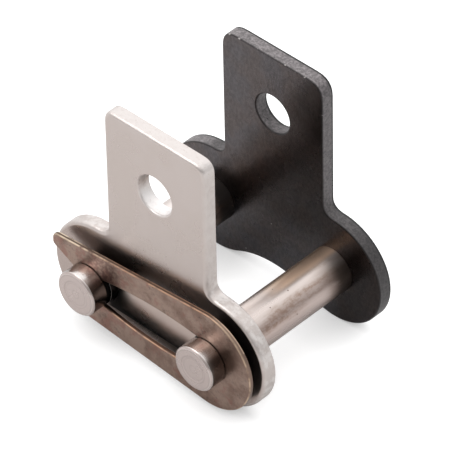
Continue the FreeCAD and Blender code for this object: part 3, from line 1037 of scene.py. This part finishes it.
@dataclass(frozen=True)
class TemperedSpring:
    """Spring strip as tempered: bronze brown, lightly mottled, coppery on its arrises, with its back painted black
    as shade.
    """

    brown: Colour = (0.196, 0.126, 0.098)
    bronze: Colour = (0.300, 0.213, 0.172)
    red: Colour = (0.240, 0.112, 0.088)
    dark: Colour = (0.075, 0.052, 0.043)
    blush: Colour = (0.115, 0.062, 0.052)
    edge: Colour = (0.215, 0.150, 0.118)
    top_edge: Colour = (0.085, 0.056, 0.044)
    copper: Colour = (0.420, 0.255, 0.165)
    gold: Colour = (0.780, 0.640, 0.480)
    back: Colour = (0.024, 0.020, 0.018)
    back_left: Colour = (0.340, 0.280, 0.250)
    back_rim: Colour = (0.300, 0.240, 0.205)
    roughness: float = 0.31
    middle: float = -0.0108
    bronze_side: Point = (0.012, -0.002)
    red_side: Point = (0.0, -0.0055)
    blushed: Triple = (-0.0068, -0.0111, 0.0108)
    blush_reach: Point = (0.0040, 0.0012)
    rim_line: tuple[Point, Point] = ((-0.0155, 0.01185), (0.0085, 0.01434))
    rim_depth: Point = (-0.0026, -0.0004)
    rim_end: Point = (0.010, 0.004)
    pale_back: Point = (-0.0035, -0.0130)
    nose_edge: Point = (0.008, 0.012)
    gold_left: Point = (-0.004, -0.013)
    gold_nose: Point = (0.0095, 0.0125)
    rear_arris: Point = (-0.01074, -0.01066)
    upper_leg: float = 0.0115

    def material(self) -> bpy.types.Material:
        """Builds the finish.

        Returns:
            The material.
        """
        s = Surface("tempered_spring")
        cut = s.mark(Mark.CUT)
        clouds = s.noise(0.0026, 5.0, rough=0.65)
        self.front(s, clouds)
        # Painted shade: the back is black.
        s.lay(s.y > self.middle, self.behind(s))
        s.lay(cut * 0.9, s.blend(s.x.span(*self.nose_edge), self.top_edge, self.edge))
        line = s.blend(s.x.span(*self.gold_left), self.copper, self.gold)
        # Paler gold along the nose's arris: painted highlight.
        line = s.blend(s.x.span(*self.gold_nose), line, s.blend(0.5, line, self.gold))
        rear_line = s.y.span(*self.rear_arris) * cut.span(0.2, 0.6)
        arris = s.most(s.mark(Mark.ARRIS), rear_line * (s.z > self.upper_leg))
        s.lay(arris * s.noise(0.0014, 3.0).span(0.30, 0.55) * 0.8, line)
        s.emboss(s.noise(0.0003, 3.0, rough=0.6), 0.00003, 0.3)
        s.emboss(s.noise(0.0016, 2.0), 0.00005, 0.3)
        return s.close((clouds - 0.5) * 0.22 + self.roughness)

    def front(self, s: Surface, clouds: Value) -> None:
        """Colours the front: bronze over brown, red patches, dark flecks and a blush by the left pin.

        Args:
            s: The material's tree.
            clouds: The pattern that the bronze follows.
        """
        bronze = s.x.span(*self.bronze_side) * 0.08 + clouds
        s.colour = s.blend(bronze.span(0.40, 0.66), self.brown, self.bronze)
        red = s.noise(0.0019, 4.0, rough=0.65, shift=(0.013, 0.0, 0.004)) + s.x.span(*self.red_side) * 0.07
        s.lay(red.span(0.54, 0.66) * 0.55, self.red)
        flecks = s.noise(0.0006, 5.0, rough=0.8).span(0.52, 0.66)
        flecks = flecks * s.noise(0.0045, 2.0, shift=(0.0, 0.0, 0.02)).span(0.40, 0.60)
        s.lay(flecks * 0.7, self.dark)
        near = ((clouds - 0.5) * 0.006 + s.away(self.blushed)).span(*self.blush_reach)
        s.lay(near * s.noise(0.0005, 3.0, rough=0.7).span(0.38, 0.58) * 0.75, self.blush)

    def behind(self, s: Surface) -> Value:
        """The back: painted shade in black, paler at its left end and along the upper leg's rim.

        Args:
            s: The material's tree.

        Returns:
            The back's colour.
        """
        (x, z), (end_x, end_z) = self.rim_line
        below = s.z - z - (s.x - x) * ((end_z - z) / (end_x - x))
        rim = below.span(*self.rim_depth) * s.x.span(*self.rim_end)
        return s.blend(rim, s.blend(s.x.span(*self.pale_back), self.back, self.back_left), self.back_rim)


# Pieces


@dataclass(frozen=True)
class Piece:
    """A finished piece that stands for one solid. Its sizes are in millimetres."""

    node: str
    body: Body
    slot: Slot

    def stations(self) -> Point:
        """Where the solid starts along Y, and how far it runs."""
        low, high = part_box(self.node)
        return low[1] / MM, (high[1] - low[1]) / MM

    def finished(self, tree: ShapeTree, drawing: bpy.types.Object, numbers: Mapping[str, float],
                 finish: bpy.types.Material) -> bpy.types.Object:
        """Makes the piece from its drawing, and lets it stand for its solid.

        Args:
            tree: The tree that shapes it.
            drawing: The curve that the tree reads.
            numbers: The tree's sizes, apart from the front station.
            finish: The piece's material.

        Returns:
            The piece.
        """
        sizes = {"Front Station": self.stations()[0], **numbers}
        piece = tree.bake(drawing, f"{self.node}_finished", sizes, finish)
        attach(piece, self.body.value)
        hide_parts(self.node)
        return piece


@dataclass(frozen=True)
class PlateShape:
    """Outline of a link plate, in millimetres about the middle of the pitch line."""

    pitch: float = 19.05
    lobe_radius: float = 7.5
    waist_radius: float = 13.0
    tab_width: float = 15.88
    tab_height: float = 26.8
    corner_radius: float = 1.7
    root_radius: float = 1.4
    tab_hole_radius: float = 2.65
    tab_hole_height: float = 18.3

    def outline(self) -> list[Vector]:
        """The outside edge.

        Returns:
            Its points, counterclockwise from the left end of the waist.
        """
        half, lobe, tab, top = self.pitch / 2, self.lobe_radius, self.tab_width / 2, self.tab_height
        drop = math.sqrt((lobe + self.waist_radius) ** 2 - half ** 2)
        share = lobe / (lobe + self.waist_radius)
        touch = (half - half * share, -drop * share)
        root = (tab, math.sqrt(lobe ** 2 - (half - tab) ** 2))
        edge = Outline()
        edge.arc((0.0, -drop), (-touch[0], touch[1]), touch, turn=-1)
        edge.arc((half, 0.0), touch, root)
        edge.line(root, (tab, top), ease=self.root_radius)
        edge.line((tab, top), (-tab, top), ease=self.corner_radius)
        edge.line((-tab, top), (-tab, root[1]), ease=self.corner_radius)
        edge.arc((-half, 0.0), (-root[0], root[1]), (-touch[0], touch[1]), ease=self.root_radius)
        return edge.points()

    def rings(self, pin_hole_radius: float) -> list[tuple[list[Vector], list[float]]]:
        """The outside edge and the three holes.

        Args:
            pin_hole_radius: Radius of the holes that the pins fill.

        Returns:
            The points of each edge, with its number at each point.
        """
        edges = [(self.outline(), Edge.OUTSIDE)]
        edges.append((ring((0.0, self.tab_hole_height), self.tab_hole_radius), Edge.TAB_HOLE))
        edges += [(ring((x, 0.0), pin_hole_radius), Edge.PIN_HOLE) for x in (-self.pitch / 2, self.pitch / 2)]
        return [(points, [edge.value] * len(points)) for points, edge in edges]


@dataclass(frozen=True)
class LinkPlate(Piece):
    """One of the two plates, made over its solid with eased edges."""

    pin_hole_radius: float
    front_round: float
    back_round: float
    hole_round: float = 0.2
    hole_back_round: float = 0.12
    round_steps: int = 8
    shape: PlateShape = PlateShape()

    def build(self, tree: ShapeTree, finish: bpy.types.Material) -> bpy.types.Object:
        """Makes the plate between the front and back of its solid.

        Args:
            tree: The blank's tree.
            finish: The plate's material.

        Returns:
            The plate.
        """
        numbers = {"Thickness": self.stations()[1], "Front Round": self.front_round, "Back Round": self.back_round,
                   "Tab Hole Round": self.hole_round, "Tab Hole Back Round": self.hole_back_round,
                   "Round Steps": self.round_steps, "Pitch Height": self.shape.lobe_radius}
        drawing = drawn(self.node, self.shape.rings(self.pin_hole_radius))
        return self.finished(tree, drawing, numbers, finish)


@dataclass(frozen=True)
class LinkPin(Piece):
    """A ground pin: grooved and faced at its free end, riveted over and dimpled behind."""

    body: Body = Body.PIN_LINK
    slot: Slot = Slot.GROUND
    radius: float = 2.98
    end_chamfer: float = 0.24
    groove_radius: float = 2.45
    groove_stations: Point = (2.30, 3.00)
    dish_radius: float = 1.7
    dish_depth: float = 0.06
    rivet_flare: float = 0.25
    rivet_length: float = 1.2
    rivet_land: float = 0.4
    rivet_taper: float = 0.65
    dimple_radii: Point = (1.15, 0.95)
    dimple_depth: float = 0.12
    corner_ease: float = 0.05
    worn_share: float = 1.2
    face_step: float = 0.1
    segments: int = 160
    ring_pitch: float = 0.36
    ring_depth: float = 0.010

    def corners(self, length: float) -> list[Vector]:
        """The sharp corners of half of the pin's section.

        Args:
            length: Length of the pin.

        Returns:
            Radius and station of each, from the axis at the free end to the axis at the riveted end.
        """
        front, back = self.groove_stations
        seat, spread = length - self.rivet_length, self.radius + self.rivet_flare
        rim, floor = self.dimple_radii
        dish, body, groove, sunk = self.dish_radius, self.radius, self.groove_radius, length - self.dimple_depth
        return [Vector(corner) for corner in (
            (0.0, self.dish_depth), (dish, self.dish_depth), (dish + 2 * self.dish_depth, 0.0),
            (body - self.end_chamfer, 0.0), (body, self.end_chamfer), (body, front), (groove, front),
            (groove, back), (body, back), (body, seat), (spread, seat), (spread, seat + self.rivet_land),
            (spread - self.rivet_taper, length), (rim, length), (floor, sunk), (0.0, sunk))]

    def section(self, length: float) -> tuple[list[Vector], list[float]]:
        """Half of the pin's section with its corners eased.

        Args:
            length: Length of the pin.

        Returns:
            The section's points (radius, station), and how worn each one is.
        """
        corners = self.corners(length)
        spots, wear_and_painted_light = [corners[0]], [0.0]
        for before, here, after in zip(corners, corners[1:], corners[2:]):
            way_in, way_out = here - before, after - here
            ease = min(self.corner_ease, way_in.length * 0.4, way_out.length * 0.4)
            start, end = here - way_in.normalized() * ease, here + way_out.normalized() * ease
            outward = way_in.cross(way_out) > 0 and here.x > self.dish_radius * self.worn_share
            bend = eased([before, start], [end, after], 4)
            spots += [start, *bend, end]
            wear_and_painted_light += [0.0, *[float(outward)] * len(bend), 0.0]
        return finer(spots + [corners[-1]], wear_and_painted_light + [0.0], self.face_step)

    def build(self, tree: ShapeTree, finish: bpy.types.Material) -> bpy.types.Object:
        """Makes the pin on the axis of its solid.

        Args:
            tree: The turned part's tree.
            finish: The pin's material.

        Returns:
            The pin.
        """
        low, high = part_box(self.node)
        drawing = drawn(self.node, [self.section(self.stations()[1])], closed=False)
        numbers = {"Segments": self.segments, "Ring Pitch": self.ring_pitch, "Ring Depth": self.ring_depth,
                   "Ring Zone": self.dish_depth * 1.5, "Axis X": (low[0] + high[0]) / 2 / MM,
                   "Pitch Height": (low[2] + high[2]) / 2 / MM}
        return self.finished(tree, drawing, numbers, finish)


@dataclass(frozen=True)
class SpringClip(Piece):
    """The hairpin clip: a nose round one pin and two bowed legs that grip the other."""

    node: str = "spring_clip"
    body: Body = Body.PIN_LINK
    slot: Slot = Slot.TEMPERED
    pitch: float = 19.05
    pitch_height: float = 7.5
    seat_radius: float = 2.48
    nose_radius: float = 6.88
    nose_offset: float = -0.05
    tail_half_width: float = 5.3
    slot_half_width: float = 2.92
    slot_crest: float = 2.2
    slot_bow_radius: float = 48.0
    mouth_half_gap: float = 1.18
    flare_angle: float = 27.4
    long_tip_reach: float = 5.95
    short_tip_reach: float = 4.95
    tip_radius: float = 1.0
    heel_radius: float = 0.6
    mouth_corner_radius: float = 0.4
    neck_corner_radius: float = 0.9
    front_round: float = 0.19
    back_round: float = 0.12
    round_steps: int = 4
    land: float = 0.015

    def bow_end(self, pin_x: float) -> Point:
        """Where the bowed inside edge of the upper leg runs into a pin's seat, on the slot's side.

        Args:
            pin_x: The pin's place along the pitch.

        Returns:
            The point where the two circles meet.
        """
        bow = Vector((self.slot_crest, self.slot_half_width - self.slot_bow_radius))
        across = Vector((pin_x, 0.0)) - bow
        apart, big, small = across.length, self.slot_bow_radius, self.seat_radius
        along = (apart ** 2 + big ** 2 - small ** 2) / (2 * apart)
        off = math.sqrt(big ** 2 - along ** 2) * (1 if across.x < 0 else -1)
        way = across / apart
        return (bow.x + along * way.x + off * way.y, bow.y + along * way.y - off * way.x)

    def outline(self) -> list[Vector]:
        """The clip's outside and inside edges as one ring.

        Returns:
            Its points, counterclockwise.
        """
        half, nose_x = self.pitch / 2, self.pitch / 2 + self.nose_offset
        lean = math.atan2(self.tail_half_width, nose_x + half)
        turn = math.asin(self.nose_radius / math.hypot(nose_x + half, self.tail_half_width)) - lean
        shoulder = (nose_x - self.nose_radius * math.sin(turn), self.nose_radius * math.cos(turn))
        mouth = (-half - math.sqrt(self.seat_radius ** 2 - self.mouth_half_gap ** 2), self.mouth_half_gap)
        neck, throat = self.bow_end(-half), self.bow_end(half)
        bow = (self.slot_crest, self.slot_half_width - self.slot_bow_radius)
        places = {}
        for leg, reach in ((Leg.UPPER, self.long_tip_reach), (Leg.LOWER, self.short_tip_reach)):
            tip_x = -half - reach
            heel = self.mouth_half_gap + math.tan(math.radians(self.flare_angle)) * (mouth[0] - tip_x)
            tip = self.tail_half_width - math.tan(turn) * reach
            places[leg] = [(x, leg.value * z) for x, z in (
                shoulder, (tip_x, tip), (tip_x, heel), mouth, neck, throat, bow)]
        top, tip, heel, lip, pinch, gorge, arch = places[Leg.UPPER]
        low_top, low_tip, low_heel, low_lip, low_pinch, low_gorge, low_arch = places[Leg.LOWER]
        edge = Outline()
        edge.arc((nose_x, 0.0), low_top, top)
        edge.line(top, tip)
        edge.line(tip, heel, ease=self.tip_radius)
        edge.line(heel, lip, ease=self.heel_radius)
        edge.arc((-half, 0.0), lip, pinch, turn=-1, ease=self.mouth_corner_radius)
        edge.arc(arch, pinch, gorge, turn=-1, ease=self.neck_corner_radius)
        edge.arc((half, 0.0), gorge, low_gorge, turn=-1)
        edge.arc(low_arch, low_gorge, low_pinch, turn=-1)
        edge.arc((-half, 0.0), low_pinch, low_lip, turn=-1, ease=self.neck_corner_radius)
        edge.line(low_lip, low_heel, ease=self.mouth_corner_radius)
        edge.line(low_heel, low_tip, ease=self.heel_radius)
        edge.line(low_tip, low_top, ease=self.tip_radius)
        return edge.points()

    def build(self, tree: ShapeTree, finish: bpy.types.Material) -> bpy.types.Object:
        """Makes the clip between the front and back of its solid.

        Args:
            tree: The blank's tree.
            finish: The clip's material.

        Returns:
            The clip.
        """
        outside = self.outline()
        drawing = drawn(self.node, [(outside, [Edge.OUTSIDE.value] * len(outside))])
        numbers = {"Thickness": self.stations()[1], "Front Round": self.front_round, "Back Round": self.back_round,
                   "Round Steps": self.round_steps, "Land": self.land, "Pitch Height": self.pitch_height}
        return self.finished(tree, drawing, numbers, finish)


# Studio


@dataclass(frozen=True)
class Softbox:
    """A soft lamp: where it stands, what it faces, how large and how strong it is."""

    name: str
    place: Triple
    size: float
    power: float
    target: Triple = (0.0, 0.0, 0.015)

    def build(self) -> None:
        """Puts the lamp into the scene, unseen by the camera."""
        lamp = bpy.data.lights.new(self.name, "AREA")
        lamp.shape, lamp.size, lamp.energy = "DISK", self.size, self.power
        piece = shown(self.name, lamp)
        piece.location = self.place
        way = Vector(self.target) - Vector(self.place)
        piece.rotation_euler = way.to_track_quat("-Z", "Y").to_euler()
        piece.visible_camera = False


@dataclass(frozen=True)
class Studio:
    """A white table under a white dome, and the camera that stands where the photographer stood."""

    azimuth: float = 44.387
    elevation: float = 41.2833
    roll: float = -1.2236
    distance: float = 0.6393
    target: Triple = (0.001878, 0.000175, 0.016328)
    lens_pixels: float = 5503.325
    image_pixels: float = 450.0
    sensor: float = 36.0
    view_depth: Point = (0.01, 20.0)
    table_size: float = 8.0
    table_white: float = 0.84
    table_shade: float = 0.50
    table_seen: Point = (0.30, 0.88)
    contact_reach: float = 0.0072
    contact_span: Point = (0.12, 0.90)
    contact_samples: int = 8
    bright_side: Triple = (-0.45, 0.40, 0.80)
    dome_span: Point = (-0.4, 1.0)
    dome: Point = (0.45, 1.50)
    lamps: tuple[Softbox, ...] = (Softbox("key_softbox", (-0.35, -0.45, 0.70), 0.60, 1.6),)

    @staticmethod
    def seen(graph: Graph) -> Value:
        """1 for rays from the camera or through glass, else 0."""
        path = graph.node("ShaderNodeLightPath").outputs
        return graph.most(*(Value(graph, path[name]) for name in ("Is Camera Ray", "Is Transmission Ray")))

    def backdrop(self) -> None:
        """Sets up the surroundings: plain white where they are seen, else a dome that is brighter on one side."""
        world = bpy.data.worlds.new("studio")
        world.use_nodes = True
        bpy.context.scene.world = world
        graph = Graph(world.node_tree)
        way = graph.out("ShaderNodeTexCoord", result="Generated")
        tone = graph.out("ShaderNodeMapRange", {
            "Value": graph.measure("DOT_PRODUCT", way, self.bright_side), "From Min": self.dome_span[0],
            "From Max": self.dome_span[1], "To Min": self.dome[0], "To Max": self.dome[1]})
        dome, white = (graph.out("ShaderNodeBackground", {"Color": WHITE, "Strength": strength})
                       for strength in (tone, 1.0))
        both = graph.out("ShaderNodeMixShader", {0: self.seen(graph), 1: dome, 2: white})
        graph.node("ShaderNodeOutputWorld", {"Surface": both})

    def paint(self) -> bpy.types.Material:
        """The table's white, which keeps the link's soft shadow and darkens where the link comes close.

        Returns:
            The material.
        """
        paint = bpy.data.materials.new("table_white")
        paint.use_nodes = True
        graph = Graph(paint.node_tree)
        seen = self.seen(graph)
        clear = graph.out("ShaderNodeAmbientOcclusion", {"Distance": self.contact_reach}, "AO",
                          samples=self.contact_samples)
        clear = graph.out("ShaderNodeMapRange", {
            "Value": clear, "From Min": self.contact_span[0], "From Max": self.contact_span[1]})
        tone = graph.pick(seen, self.table_white, self.table_shade)
        matt = graph.out("ShaderNodeBsdfDiffuse", {"Color": graph.vector(tone, tone, tone)})
        lift = seen * graph.pick(clear, *self.table_seen)
        glow = graph.out("ShaderNodeEmission", {"Color": WHITE, "Strength": lift})
        graph.node("ShaderNodeOutputMaterial", {"Surface": graph.out("ShaderNodeAddShader", {0: matt, 1: glow})})
        return paint

    def table(self) -> None:
        """Puts the table top under the link."""
        half = self.table_size / 2
        corners = [(-half, -half, 0), (half, -half, 0), (half, half, 0), (-half, half, 0)]
        mesh = bpy.data.meshes.new("table_top")
        mesh.from_pydata(corners, [], [(0, 1, 2, 3)])
        mesh.materials.append(self.paint())
        shown("table_top", mesh)

    def camera(self) -> None:
        """Puts the camera where it was fitted to the photograph."""
        turn, lift, roll = (math.radians(a) for a in (self.azimuth, self.elevation, self.roll))
        forward = Vector((-math.sin(turn) * math.cos(lift), math.cos(turn) * math.cos(lift), -math.sin(lift)))
        right = Vector((math.cos(turn), math.sin(turn), 0.0))
        up = right.cross(forward)
        right, up = (right * math.cos(roll) + up * math.sin(roll), up * math.cos(roll) - right * math.sin(roll))
        lens = bpy.data.cameras.new("camera")
        lens.sensor_width = self.sensor
        lens.lens = self.lens_pixels * self.sensor / self.image_pixels
        lens.clip_start, lens.clip_end = self.view_depth
        camera = shown("camera", lens)
        turned = Matrix((right, up, -forward)).transposed().to_4x4()
        camera.matrix_world = Matrix.Translation(Vector(self.target) - forward * self.distance) @ turned
        bpy.context.scene.camera = camera

    def build(self) -> None:
        """Sets up the dome, the table, the lamps and the camera."""
        self.backdrop()
        self.table()
        for lamp in self.lamps:
            lamp.build()
        self.camera()
        bpy.context.scene.view_settings.view_transform = "Standard"


@dataclass(frozen=True)
class ConnectingLink:
    """The whole link: two plates, two pins and the clip."""

    plates: tuple[LinkPlate, ...] = (
        LinkPlate("connecting_plate", Body.LOOSE_PLATE, Slot.NICKEL, pin_hole_radius=3.03,
                  front_round=0.52, back_round=0.12, hole_round=0.28, hole_back_round=0.10),
        LinkPlate("pin_link_plate", Body.PIN_LINK, Slot.OXIDE, pin_hole_radius=2.985,
                  front_round=0.20, back_round=0.15, shape=PlateShape(corner_radius=2.4)),
    )
    pins: tuple[LinkPin, ...] = (LinkPin("pin_left"), LinkPin("pin_right"))
    clip: SpringClip = SpringClip()

    def build(self) -> list[bpy.types.Object]:
        """Makes and dresses every piece.

        Returns:
            The pieces.
        """
        blank, turned = blank_tree(), turned_tree()
        finishes = {Slot.NICKEL: SatinNickel().material(), Slot.OXIDE: BlackOxide().material(),
                    Slot.GROUND: GroundSteel().material(), Slot.TEMPERED: TemperedSpring().material()}
        work = [(plate, blank) for plate in self.plates] + [(pin, turned) for pin in self.pins]
        work.append((self.clip, blank))
        return [piece.build(tree, finishes[piece.slot]) for piece, tree in work]


def main() -> None:
    """Builds the link and its studio."""
    logging.basicConfig(level=logging.INFO, format="%(name)s: %(message)s")
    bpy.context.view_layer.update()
    ConnectingLink().build()
    Studio().build()


if __name__ == "__main__":
    main()
